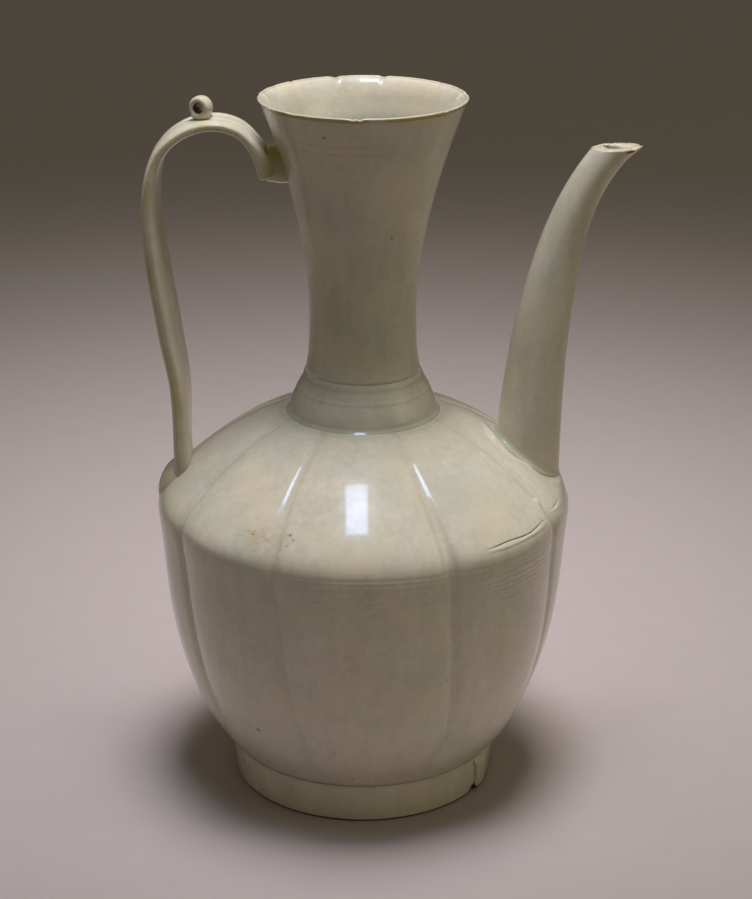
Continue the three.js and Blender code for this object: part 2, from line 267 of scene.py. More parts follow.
def lengths_along(line):
    """The length of a line from its start to each of its points."""
    return np.concatenate([[0], np.cumsum(np.hypot(*np.diff(line, axis=0).T))])


def bell_weights(reach, step, softness):
    """Weights for so many steps to either side that fall as a bell and add up to 1."""
    weights = bell(np.arange(-reach, reach + 1) * step, 0, softness)
    return weights / weights.sum()


def soft_outline(knots, step, softness):
    """A closed outline with softened corners.

    Straight lines between the knots are cut into even steps, then each point becomes the mean
    of its neighbours, weighted by a bell of that softness along the line."""
    knots = np.array([*knots, knots[0]], float)
    lengths = lengths_along(knots)
    count = int(lengths[-1] / step)
    along = np.linspace(0, lengths[-1], count, endpoint=False)
    points = points_at(along, lengths, knots)
    reach = int(3 * softness / step) + 1
    weights = bell_weights(reach, step, softness)
    return sum(w * np.roll(points, k, axis=0) for w, k in zip(weights, range(-reach, reach + 1)))


def closed_faces(rows, columns, rows_meet):
    """Faces of a grid whose columns go round and whose rows meet, or end in a pole at each end.

    The two poles are the vertices after the grid's own."""
    first = np.arange(rows if rows_meet else rows - 1)[:, None]
    column = np.arange(columns)[None, :]
    after = (column + 1) % columns
    second = (first + 1) % rows
    corners = [(first, column), (first, after), (second, after), (second, column)]
    numbers = np.broadcast_arrays(*(row * columns + place for row, place in corners))
    quads = np.stack(numbers, -1).reshape(-1, 4)
    if rows_meet:
        return quads, np.zeros((0, 3), int)
    ring = np.arange(columns)
    turned_on = (ring + 1) % columns
    start = np.stack([np.full(columns, rows * columns), turned_on, ring], -1)
    last = (rows - 1) * columns
    end = np.stack([np.full(columns, rows * columns + 1), last + ring, last + turned_on], -1)
    return quads, np.concatenate([start, end])


def in_columns(outline):
    """The radii and the levels of an outline as two columns, a row for each point."""
    return outline[:, 0][:, None], outline[:, 1][:, None]


def points_from(x, y, z):
    """A grid of points, where each of x, y and z may be a grid, a row, a column or a number."""
    return np.stack(np.broadcast_arrays(x, y, z), -1)


def turned_grid(radius, turns, level):
    """A grid of points from radii, turns about the axis and levels."""
    return points_from(radius * np.cos(turns), radius * np.sin(turns), level)


def joined(*stretches):
    """One outline from several stretches, and for each stretch a column that marks its rows."""
    number = np.repeat(np.arange(len(stretches)), [len(stretch) for stretch in stretches])[:, None]
    return np.concatenate(stretches), [number == k for k in range(len(stretches))]


def add_piece(name, grid, marks, material, rows_meet=True, slot="glaze"):
    """A closed piece from a grid of points in millimetres about the pot's axis.

    The faces are turned round if the volume that they enclose comes out below zero."""
    rows, columns = grid.shape[:2]
    points = grid.reshape(-1, 3)
    if not rows_meet:
        points = np.concatenate([points, grid[:1].mean(1), grid[-1:].mean(1)])
    quads, ends = closed_faces(rows, columns, rows_meet)
    triangles = np.concatenate([quads[:, [0, 1, 2]], quads[:, [0, 2, 3]], ends])
    a, b, c = (points[triangles[:, k]] for k in range(3))
    if np.einsum("ij,ij->i", a, np.cross(b, c)).sum() < 0:
        quads = quads[:, ::-1]
        ends = ends[:, ::-1]
    mesh = bpy.data.meshes.new(name)
    mesh.from_pydata(((points + (pot_axis, 0, 0)) * MM).tolist(), [], quads.tolist() + ends.tolist())
    mesh.polygons.foreach_set("use_smooth", np.ones(len(mesh.polygons), bool))
    for mark, values in marks.items():
        values = np.broadcast_to(values, (rows, columns)).astype(np.float32)
        flat = values.ravel()
        if not rows_meet:
            flat = np.concatenate([flat, values[:1].mean(1), values[-1:].mean(1)])
        mesh.attributes.new(mark, "FLOAT", "POINT").data.foreach_set("value", flat)
    mesh.materials.append(material)
    piece = bpy.data.objects.new(name + "_fired", mesh)
    bpy.context.scene.collection.objects.link(piece)
    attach(piece, "root")
    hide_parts(name)
    return piece


# Dark iron specks that show in the glaze, as place (x, y, z about the pot's axis) and radius
iron_specks = [
    ((-13.1, -31.3, 252.3), 0.75),
    ((-37.9, -52.7, 39.9), 1.0),
    ((-25.1, -63.1, 120.8), 0.8),
    ((-24.0, -64.8, 119.6), 0.6),
    ((-75.5, -9.0, 172.0), 0.8),
]

cream_glaze = colour(217, 207, 186)
cool_glaze = colour(201, 197, 178)
green_glaze = colour(158, 160, 134)
olive_glaze = colour(104, 104, 72)
thin_glaze = colour(178, 152, 54)
fired_clay = colour(206, 194, 166)
stained_clay = colour(150, 116, 82)
iron_brown = colour(78, 54, 32)
crack_and_shade_dark = colour(76, 50, 32)
mottled_glaze = colour(160, 148, 112)
warm_glaze = colour(214, 198, 166)
rust_stain = colour(176, 148, 106)
glaze_marks = ("pool", "thin", "bare", "crack", "rust")


def glaze_material(name):
    """Glossy pale glaze over porcelain clay.

    The pool mark makes it thick and green, and deep in the neck and in the handle pad's recess
    that green darkening is partly painted shade; 'thin' lets a brown edge through, 'bare' leaves
    plain fired clay, the crack mark darkens an opened line and is painted shade in the tie loop's
    hole and along the foot ring's bottom edge, and 'rust' brings more iron specks."""
    material, start, shader = bare_tree(name)
    place = start.node("TexCoord", output=3)
    marks = {m: start.node("Attribute", {"attribute_name": m}, output=2) for m in glaze_marks}
    drawn_out = start.node("VectorMath", {"operation": "MULTIPLY"}, {0: place, 1: (1.0, 1.0, 0.12)})

    def noise(scale, detail, roughness=0.5, over=place):
        values = {"Vector": over, "Scale": scale, "Detail": detail, "Roughness": roughness}
        return start.node("TexNoise", None, values)

    clouds = noise(26.0, 4.0, 0.55)
    drift = noise(90.0, 5.0, 0.6)
    warm = noise(55.0, 3.0)
    grain = noise(1400.0, 3.0, 0.7)
    peel = noise(420.0, 2.0)
    runs = noise(260.0, 3.0, over=drawn_out)

    body = blend_colours(clouds.rising(0.35, 0.7), cream_glaze, cool_glaze)
    mottle = (0.5 * grain + 0.5 * peel + 0.5 * runs + 0.5 * drift - 0.72).clamped()
    body = blend_colours(mottle * 0.8, body, mottled_glaze)
    body = blend_colours(warm.rising(0.45, 0.7) * 0.5, body, warm_glaze)
    # Thick glaze turns green, then olive. Deep in the neck and in the handle pad's recess this darkening is
    # partly painted shade.
    thick = (marks["pool"] * (0.5 + 1.0 * drift)).clamped()
    body = blend_colours(thick.rising(0.0, 0.6), body, green_glaze)
    body = blend_colours(thick.rising(0.45, 1.0), body, olive_glaze)

    cells = {"Vector": place, "Scale": 150.0, "Randomness": 1.0}
    speck_distance = start.node("TexVoronoi", {"feature": "F1"}, cells, output=0)
    cell_colour = start.node("TexVoronoi", {"feature": "F1"}, cells, output=1)
    chosen = start.node("SeparateColor", None, {"Color": cell_colour}, output=0)
    size = start.node("SeparateColor", None, {"Color": cell_colour}, output=1)
    often = 0.94 - 0.4 * marks["rust"]
    fine_specks = chosen.rising(often, often + 0.02) * (1.0 - speck_distance.rising(0.02, 0.05 + 0.1 * size))
    body = blend_colours(fine_specks * (0.35 + 0.35 * size), body, iron_brown)
    rusty = marks["rust"] * (0.5 * grain + 0.5 * peel).rising(0.585, 0.62)
    body = blend_colours(marks["rust"] * (0.9 * drift - 0.2).clamped(), body, rust_stain)
    body = blend_colours(rusty * 0.6, body, iron_brown)
    for centre, radius in iron_specks:
        middle = tuple(np.multiply(np.add(centre, (pot_axis, 0, 0)), MM))
        away = start.node("VectorMath", {"operation": "DISTANCE"}, {0: place, 1: middle}, output=1)
        near = 1.0 - (away + (drift - 0.5) * 0.0008).rising(radius * 0.3 * MM, radius * 1.2 * MM)
        body = blend_colours(near * 0.65, body, iron_brown)

    edge = (marks["thin"] * (0.45 + 1.1 * drift)).clamped()
    body = blend_colours(edge.rising(0.25, 0.75), body, thin_glaze)
    clay = blend_colours((drift - 0.2).clamped(), fired_clay, stained_clay)
    bare = (marks["bare"] + (drift - 0.5) * marks["bare"] * 0.8).rising(0.3, 0.6)
    body = blend_colours(bare, body, clay)
    # Opened cracks are dark. The same dark is painted shade inside the tie loop's hole and painted contact
    # shadow along the foot ring's bottom edge.
    body = blend_colours(marks["crack"].rising(0.2, 0.8), body, crack_and_shade_dark)

    gloss = 0.2 + 0.14 * clouds + 0.05 * grain
    rough = gloss + bare * 0.5 + marks["crack"] * 0.4
    relief = (drift - 0.5) * 0.00016 + (peel - 0.5) * 0.000022 + (grain - 0.5) * 0.000006
    relief = relief + bare * (grain - 0.5) * 0.00006
    relief = relief - (fine_specks + rusty) * 0.00006
    normal = start.node("Bump", None, {"Strength": 0.7, "Distance": 1.0, "Height": relief})

    coat = ((1.0 - bare) * 0.8).clamped()
    start.fill(shader, {"Base Color": body, "Roughness": rough.clamped(), "Normal": normal})
    start.fill(shader, {"Coat Weight": coat, "Coat Roughness": 0.07, "Specular IOR Level": 0.42, "IOR": 1.5})
    return material


glazed = glaze_material("pale_green_glaze")
foot_glazed = glaze_material("foot_glaze_and_bare_clay")


def foot_ring():
    """The ring's outline turned about the axis, with the firing split as a narrow notch in its wall.

    The notch's depth is a bell across its half width, which fades inwards from the outer face.
    A dark line along the outer bottom edge is painted contact shadow."""
    inner_bottom = foot_bottom_radius - foot_ring_width
    outline = soft_outline(
        [
            (inner_bottom + foot_bevel, 0),
            (foot_bottom_radius - foot_bevel, 0),
            (foot_bottom_radius, foot_bevel),
            (mixed(foot_bottom_radius, foot_top_radius, 0.55), foot_height * 0.62),
            (foot_top_radius, foot_height),
            (foot_top_radius - foot_ring_width - foot_taper, foot_height),
            (inner_bottom, foot_bevel),
        ],
        0.3,
        0.3,
    )
    turns = spread(-math.pi, math.pi, 521, [crack_turn], 0.06, 10)[:-1]
    radius, level = in_columns(outline)
    line = crack_turn - crack_lean * smooth_step(6, foot_height, level) + 0.004 * np.sin(level * 1.3)
    outer = smooth_step(foot_bottom_radius - 5, foot_bottom_radius - 1, radius)
    wedge = 1 + 0.8 * smooth_step(3, 0, level)
    notch = bell(turns * radius, line * radius, crack_half_width * wedge) * outer
    wobble = 0.12 * ragged(turns, level, 60, 3)
    pushed = radius + wobble - crack_depth * notch * wedge
    chip = bell(turns, crack_turn - 0.02, 0.04) * smooth_step(4, 0, level) * outer
    step = crack_step * smooth_step(line, line + 0.012, turns) * outer
    step = step * smooth_step(line + 0.3, line + 0.12, turns)
    pushed = pushed + step * smooth_step(foot_height, foot_height - 5, level)
    grid = turned_grid(pushed, turns, level + chip * crack_chip)
    glaze_end = np.interp(level, [0, foot_height], [inner_bottom + 1.5, inner_bottom + 2.5])
    inside = 1 - smooth_step(-0.5, 0.5, radius - glaze_end)
    marks = {
        "bare": np.maximum(1 - smooth_step(0.1, 0.9, level + 0.25 * ragged(turns, level, 20, 5)), inside),
        "thin": bell(level, 0.5, 0.6) * outer * 0.5 + 0.5 * chip,
        "pool": smooth_step(foot_height - 2.5, foot_height, level) * outer * 0.3,
        # Darkened here: the opened crack and its chip, and a line along the outer bottom edge that is painted
        # contact shadow.
        "crack": np.clip(0.42 * notch * wedge + 1.6 * chip + bell(level, 0.25, 0.6) * outer, 0, 1),
    }
    return grid, marks


add_piece("foot_ring", *foot_ring(), foot_glazed, slot="foot")

# Lower body
# The bowl, thrown and then pressed into eight lobes by a straight edge before it was stiff.
# A comb drew a band of fine lines round it just below the seam.
base_level = foot_height
seam_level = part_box("lower_body")[1].z / MM
collar_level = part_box("neck_collar")[0].z / MM
lobe_count = 8
panel = 2 * math.pi / lobe_count
body_base_radius = 50.4
body_widest_radius = 75.35
body_wall = 4.2
body_floor = 5.5
body_floor_inset = 9
# Bowl and dome stand this much higher than the joint on the foot ring, so that no faces coincide
bowl_lift = 0.12
lobe_depth = 1.35
lobe_sharpness = 2.6
lobe_rounding = 0.1
valley_depth_below = 0.55
valley_depth_above = 1.42
valley_share_below = 0.08
valley_share_above = 0.09
valley_power = 2.5
scribe_depth = 0.1
scribe_share = 0.022
# How far the hand strayed from even spacing, in degrees, from the groove at half a panel on
groove_strays = [-1.5, 1.0, -1.0, 1.5, 4.5, -3.0, 1.5, 0.0]
# How deep each of the same grooves is, as a share of the valley depth
groove_strengths = [1.0, 0.95, 1.05, 1.0, 1.25, 1.03, 1.22, 1.0]
stray_reach = 0.35
lobe_lean = math.radians(8)
lobe_fade_height = 22
shoulder_setback = 0.6
seam_radius = body_widest_radius - shoulder_setback
seam_softness = 5.2
seam_fullness = 1.25
slump = 0.4
comb_teeth = [108.1, 106.4, 104.4, 101.8, 99.8, 97.8, 95.8, 94.0]
comb_tooth_width = 0.65
comb_depth = 0.12
shoulder_top_radius = 30.4
# A row of points this close to a sharp edge keeps its shading crisp
edge_row = 0.04


def curve_through(knots, count):
    """A smooth curve through the knots, as evenly counted points.

    Each stretch is a cubic whose slope at a knot is half the step between that knot's neighbours."""
    knots = np.array(knots, float)
    last = len(knots) - 1
    share = np.linspace(0, last, count)
    index = np.minimum(share.astype(int), last - 1)
    t = (share - index)[:, None]
    before, start, end, after = (knots[np.clip(index + k, 0, last)] for k in (-1, 0, 1, 2))
    slope_in, slope_out = (end - before) / 2, (after - start) / 2
    cube = (2 * start - 2 * end + slope_in + slope_out) * t**3
    return cube + (3 * end - 3 * start - 2 * slope_in - slope_out) * t**2 + slope_in * t + start


# How the bowl grows with its height, and how the dome draws in with its rise, in shares
body_swell = [
    (0, 0), (0.34, 0.11), (0.56, 0.235), (0.74, 0.38),
    (0.86, 0.525), (0.93, 0.67), (0.97, 0.81), (1, 0.92),
]
shoulder_fall = [(0, 0), (0.1, 0.2), (0.27, 0.42), (0.47, 0.63), (0.74, 0.85), (1, 1)]


def even_steps(line, count):
    """A line's points again, evenly spaced along its length."""
    lengths = lengths_along(line)
    along = np.linspace(0, lengths[-1], count)
    return points_at(along, lengths, line)


def softened(line, step, softness):
    """An open line of even steps, each point the mean of its neighbours weighted by a bell.

    Past each end the line goes on as its own half turn, so that its ends stay in place."""
    reach = int(3 * softness / step)
    before = 2 * line[0] - line[reach:0:-1]
    after = 2 * line[-1] - line[-2 : -reach - 2 : -1]
    weights = bell_weights(reach, step, softness)
    longer = np.concatenate([before, line, after])
    return np.stack([np.convolve(longer[:, k], weights, "valid") for k in (0, 1)], -1)


def pot_outline():
    """The outline of bowl and dome as one line, its corner at the seam softened and filled."""
    bowl = [
        (mixed(body_base_radius, body_widest_radius, growth), mixed(base_level, seam_level, height))
        for growth, height in body_swell
    ]
    dome = [
        (mixed(seam_radius, shoulder_top_radius, loss), mixed(seam_level, collar_level, rise))
        for loss, rise in shoulder_fall
    ]
    bowl = curve_through(bowl + [(seam_radius, seam_level)], 500)
    dome = curve_through(dome, 500)
    line = even_steps(np.concatenate([bowl, dome[1:]]), 1700)
    step = np.hypot(*(line[1] - line[0]))
    line = softened(line, step, seam_softness)
    line[:, 0] += seam_fullness * bell(line[:, 1], seam_level, 8)
    return line


def radius_at_level(outline, level):
    """The radius of an outline at a level, where its levels rise."""
    return np.interp(level, outline[:, 1], outline[:, 0])


whole_outline = pot_outline()
seam_point = [(radius_at_level(whole_outline, seam_level), seam_level)]
body_outline = np.concatenate([whole_outline[whole_outline[:, 1] < seam_level], seam_point])
shoulder_outline = np.concatenate([seam_point, whole_outline[whole_outline[:, 1] > seam_level]])


def lean_at(level):
    """How far the lobes lean round the pot at a level, starting from none at the seam."""
    return lobe_lean * (seam_level - level) / (collar_level - base_level)


def turned_from(turn, middle):
    """How far a turn lies from another, between minus and plus half a circle."""
    return (turn - middle + math.pi) % (2 * math.pi) - math.pi


def lobed(radius, turn, level):
    """x and y of points of a turned shape once the lobes are pressed.

    The press is a power of the share of the way from a lobe's crest to its groove, plus a rounded
    valley: e to the minus 2.5th power of the distance over its half width, shallower the nearer it
    lies to the axis. Below the seam comes a fine scribed line. The press fades out just above the
    foot, leans a little round the pot and strays from even spacing. Under the spout the bowl bulges
    out a little."""
    share = groove_share(turn)
    rounded = 1 - (np.sqrt((1 - share) ** 2 + lobe_rounding**2) - lobe_rounding)
    fade = smooth_step(base_level, base_level + lobe_fade_height, level)
    inwards = np.clip(radius / seam_radius, 0, 1)
    above_seam = smooth_step(seam_level - 12, seam_level + 6, level)
    valley_share = mixed(valley_share_below, valley_share_above, above_seam)
    valley_depth = mixed(valley_depth_below, valley_depth_above, above_seam)
    press = lobe_depth * np.clip(rounded, 0, 1) ** lobe_sharpness * inwards**0.5
    press = press + valley_depth * np.exp(-(((1 - share) / valley_share) ** valley_power)) * inwards**2
    press = press + scribe_depth * bell(share, 1, scribe_share) * (1 - above_seam)
    stray = 0
    for number, degrees in enumerate(groove_strays):
        away = turned_from(turn, (number + 0.5) * panel)
        stray = stray + math.radians(degrees) * bell(away, 0, stray_reach)
        press = press * (1 + (groove_strengths[number] - 1) * bell(away, 0, stray_reach))
    around = turn + (lean_at(level) + stray) * fade
    outwards = slump * np.clip(np.cos(around), 0, 1) ** 2 * bell(level, seam_level - 12, 34)
    pressed = np.maximum(radius - press * fade + outwards, 0)
    return pressed * np.cos(around), pressed * np.sin(around)


def pressed_radius(radius, turn, level):
    """Radius at a turn and level of the pressed pot, from its radius before the press."""
    return np.hypot(*lobed(radius, turn - lean_at(level), level))


def groove_share(turn):
    """1 in a groove and 0 on a lobe's crest."""
    return 2 * np.abs(turn / panel - np.round(turn / panel))


def combing(turn, level):
    """Depth share of the combed lines: a bell on each tooth's level, with a hand's wander."""
    wander = 0.35 * np.sin(3 * turn + 0.4) + 0.25 * np.sin(8 * turn + 1)
    pressure = 0.62 + 0.38 * ragged(turn, 0, 90, 11)
    lines = sum(bell(level, tooth + wander, comb_tooth_width) for tooth in comb_teeth)
    return lines * np.clip(pressure, 0.15, 1) * (1 - 0.6 * groove_share(turn) ** 8)


def run_of(line):
    """The direction in which a line runs at each of its points, as arrows of length 1."""
    run = np.gradient(line, axis=0)
    return run / np.hypot(*run.T)[:, None]


def along_outward(outline, distance):
    """An outline moved sideways by a distance: each point goes along the line square to its run."""
    run = run_of(outline)
    return outline + np.stack([run[:, 1], -run[:, 0]], -1) * distance


def rust_patches(turns, level):
    """Bells where iron gathered: beside the front left groove, and a little along the edge."""
    beside = bell(turns, math.radians(-119), 0.09) + 0.8 * bell(turns, math.radians(-110.5), 0.045)
    return np.clip(beside * bell(level, 118, 3.5), 0, 1)


groove_turns = [(k + 0.5) * panel for k in range(-lobe_count, lobe_count)]
lobe_turns = spread(-math.pi, math.pi, 497, groove_turns, 0.035, 4.5)[:-1]


def lower_body():
    """The bowl's outline, from the axis under its base, up the outside and back down the inside."""
    levels = spread(base_level, seam_level - edge_row, 150, comb_teeth + [seam_level, base_level], 2.2, 2.2)
    levels = np.append(levels, seam_level)
    outside = np.stack([radius_at_level(body_outline, levels), levels], -1)
    inner_line = along_outward(body_outline, -body_wall)
    floor_level = base_level + body_floor
    inner_levels = np.linspace(seam_level - body_wall / 2, floor_level + 3, 14)
    inside = np.stack([radius_at_level(inner_line, inner_levels), inner_levels], -1)
    floor_edge = radius_at_level(body_outline, floor_level) - body_floor_inset
    under = [(r, base_level) for r in np.linspace(0.8, body_base_radius - 0.4, 24)]
    edge = outside[-1, 0]
    rim = [(r, seam_level) for r in (edge - edge_row, edge - body_wall / 2, edge - body_wall)]
    floor_line = [(r, floor_level) for r in np.linspace(floor_edge, 0.8, 5)]
    outline, (is_under, is_outside, *_) = joined(under, outside, rim, inside, floor_line)
    radius, level = in_columns(outline)
    turns = lobe_turns

    lines = combing(turns, level) * is_outside
    sway = 0.25 * ragged(turns, level, 70, 3) * is_outside * smooth_step(base_level, base_level + 8, level)
    sway = sway * smooth_step(seam_level, seam_level - 6, level)
    x, y = lobed(radius + sway - comb_depth * lines, turns, level)
    rings = 0.12 * np.sin(radius * 0.8) * is_under * smooth_step(41, 36, radius)
    grid = points_from(x, y, level + rings + bowl_lift)
    share = groove_share(turns)
    grooves = bell(share, 1, 0.03) + 0.5 * bell(share, 1 - valley_share_below, 0.04)
    grooves = grooves * smooth_step(base_level + 4, base_level + 26, level) * is_outside
    foot_pool = bell(level, base_level, 1.4) * is_outside
    marks = {
        "pool": np.clip(0.1 * lines + 0.16 * grooves + 0.34 * foot_pool, 0, 1),
        "rust": rust_patches(turns, level),
        "bare": is_under * 1.0,
    }
    return grid, marks


add_piece("lower_body", *lower_body(), glazed, rows_meet=False)

# Shoulder
# A lobed dome luted to the bowl with slip. The joint has opened in two short cracks at the
# front right. The hole that lets the liquid out is hidden under the spout and isn't cut here.
shoulder_wall = 4
neck_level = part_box("neck")[0].z / MM
bore_radius = 18.5
collar_base_radius = 28.8
spout_root_radius_from_axis = seam_radius - 14.75
# Opened stretches of the joint: first turn, last turn, level, half width and depth
seam_cracks = [(-57, -27, 114.1, 0.2, 0.5), (-22.5, -12, 115.0, 0.2, 0.4)]
crack_lip = 0.22
slip_mound_height = 2.8
slip_mound_place = spout_root_radius_from_axis + 14
slip_mound_length = 9
slip_mound_width = 12
slip_bead_height = 1.3
slip_bead_radius = 15.0
slip_bead_width = 1.0
slip_lump_place = (62.8, -29.0)
slip_lump_height = 1.8
slip_lump_width = 1.3
slip_fade = 5


def slip_mound(x, y, level):
    """Rise of the slip round the spout's foot: a mound on the shoulder's edge, an uneven bead
    squeezed out along the front of the foot, and one small lump further out. It ends at the seam."""
    mound = slip_mound_height * bell(x, slip_mound_place, slip_mound_length) * bell(y, 0, slip_mound_width)
    away_x, away_y = x - spout_root_radius_from_axis, y
    turn = np.arctan2(away_y, away_x)
    ring = slip_bead_radius + 0.35 * np.sin(5 * turn + 0.6) + 0.2 * np.sin(9 * turn)
    squeezed = slip_bead_height * (1 + 0.35 * np.sin(6 * turn + 4.2))
    bead = squeezed * bell(np.hypot(away_x, away_y), ring, slip_bead_width)
    lump_x, lump_y = (bell(value, slip_lump_place[k], slip_lump_width) for k, value in enumerate((x, y)))
    rise = mound + bead * smooth_step(3, -4, away_y) + slip_lump_height * lump_x * lump_y
    return rise * smooth_step(seam_level, seam_level + slip_fade, level)


def shoulder():
    """The dome's outline, out over the seam, up to the collar, and back inside its wall."""
    numbers = np.append(0, spread(edge_row, len(shoulder_outline) - 1, 160, [0, 22, 40], 26, 2.6))
    outside = at_numbers(numbers, shoulder_outline)
    inner_line = along_outward(shoulder_outline, -shoulder_wall)
    keep = (inner_line[:, 1] > seam_level + 1) & (inner_line[:, 0] > bore_radius + 2)
    inside = inner_line[keep][::-40]
    top = [(r, collar_level) for r in np.linspace(shoulder_top_radius, bore_radius, 6)[1:]]
    throat = [(bore_radius, collar_level - drop) for drop in (1.3, 2.6, shoulder_wall)]
    edge = outside[0, 0]
    under = [(r, outside[0, 1]) for r in (edge - body_wall, edge - body_wall / 2, edge - edge_row)]
    outline, (_, is_outside, *_) = joined(under, outside, top, throat, inside)
    radius, level = in_columns(outline)
    turns = lobe_turns

    crack = 0
    groove = 0
    degrees = np.degrees(turns)
    for first, last, height, half_width, depth in seam_cracks:
        reach = smooth_step(first, first + 6, degrees) * smooth_step(last, last - 6, degrees)
        line = bell(level, height + 0.25 * np.sin(turns * 21), half_width) * reach * is_outside
        crack = crack + line
        groove = groove + line * depth - crack_lip * bell(level, height - 0.9, 0.6) * reach * is_outside
    sway = 0.22 * ragged(turns, level, 70, 3) * is_outside
    sway = sway * smooth_step(seam_level, seam_level + 8, level)
    sway = sway * smooth_step(collar_level, collar_level - 5, level)
    x, y = lobed(radius + sway - groove, turns, level)
    grid = points_from(x, y, level + bowl_lift + slip_mound(x, y, level) * is_outside)
    channel = bell(groove_share(turns), 1 - 0.8 * valley_share_above, 0.04)
    grooves = (channel + 0.6 * bell(groove_share(turns), 1, 0.8 * valley_share_above)) * is_outside
    collar_pool = smooth_step(collar_base_radius + 5.5, collar_base_radius + 0.5, radius) * is_outside
    marks = {
        "pool": np.clip(0.12 * grooves + 0.25 * collar_pool, 0, 1),
        "crack": np.clip(crack * 0.65, 0, 1),
        "rust": rust_patches(turns, level),
    }
    return grid, marks


add_piece("shoulder", *shoulder(), glazed)

# Neck collar
# A stepped ring of clay round the joint of shoulder and neck, turned on the wheel, with thick
# green glaze in its steps.
neck_base_radius = 21.0
# The collar's outer outline: how far out of the neck's base, and how high above the shoulder
collar_flare = [
    (8.4, -0.9),
    (7.4, -0.03),
    (6.45, 0.8),
    (6.05, 1.45),
    (5.85, 2.3),
    (5.5, 3.6),
    (4.6, 6.2),
    (2.8, 9.9),
    (1.4, 12.8),
    (0.7, 14.6),
    (0, 16),
]
collar_ridge_level = collar_level + 9.6
collar_ridge = 0.13


def collar():
    """The collar's curved outline with its faint ridge, turned about the axis."""
    flare = curve_through([(neck_base_radius + out, collar_level + up) for out, up in collar_flare], 170)
    flare[:, 0] += collar_ridge * bell(flare[:, 1], collar_ridge_level, 0.55)
    flare[:, 0] -= 0.7 * collar_ridge * bell(flare[:, 1], collar_ridge_level + 4.0, 0.8)
    top = [(r, neck_level) for r in (neck_base_radius - edge_row, neck_base_radius - 1, bore_radius)]
    under = [(bore_radius, collar_level + 8), (bore_radius, collar_level - 0.5), (26, collar_level - 0.5)]
    outline = np.concatenate([flare, top, under])
    turns = np.linspace(-math.pi, math.pi, 320, endpoint=False)
    radius, level = in_columns(outline)
    outer = smooth_step(bore_radius + 1.0, bore_radius + 2.0, radius)
    away = smooth_step(neck_level, neck_level - 4, level)
    away = away * smooth_step(collar_level - 0.5, collar_level + 3, level)
    pushed = radius + 0.16 * ragged(turns, level, 40, 17) * outer * away
    grid = turned_grid(pushed, turns, level)
    step_pool = 0.2 * bell(level, collar_ridge_level + 4.0, 1.0) + 0.5 * bell(level, collar_level - 0.3, 1.6)
    marks = {"pool": np.clip(step_pool, 0, 1) * outer}
    return grid, marks


add_piece("neck_collar", *collar(), glazed)

# Neck
# The trumpet, thrown separately and luted on. Its thin lip is worn brown and chipped, and two
# fine rings are cut a finger's width below it.
neck_height = rim_level - neck_level
neck_waist_radius = 19.4
neck_waist_height = 19.5
neck_flare_power = 1.87
neck_foot_fillet = 6.0
mouth_radius = (neck_high.x - neck_low.x) / 2 / MM
neck_wall = 3.4
lip_wall = 1.2
lip_bevel = 1.8
ring_levels = [249.6, 246.6]
# Chips in the lip: turn in degrees, half width along the lip and depth
lip_chips = [
    (174, 1.1, 0.8),
    (106, 1.5, 0.6),
    (78, 1.3, 0.5),
    (8, 1.2, 0.8),
    (-95, 1.1, 0.4),
    (-91.5, 0.8, 0.55),
    (-40, 0.7, 0.2),
    (135, 0.8, 0.25),
    (-150, 0.7, 0.2),
    (40, 0.6, 0.2),
]


def neck_radius(level):
    """Outer radius of the neck: waist, plus a flare as a power of the rise, plus a foot fillet."""
    above = level - neck_level
    rise = np.maximum((above - neck_waist_height) / (neck_height - neck_waist_height), 0)
    flare = (mouth_radius - neck_waist_radius) * rise**neck_flare_power
    fillet = (neck_base_radius - neck_waist_radius) * np.exp(-above / neck_foot_fillet)
    return neck_waist_radius + flare + fillet


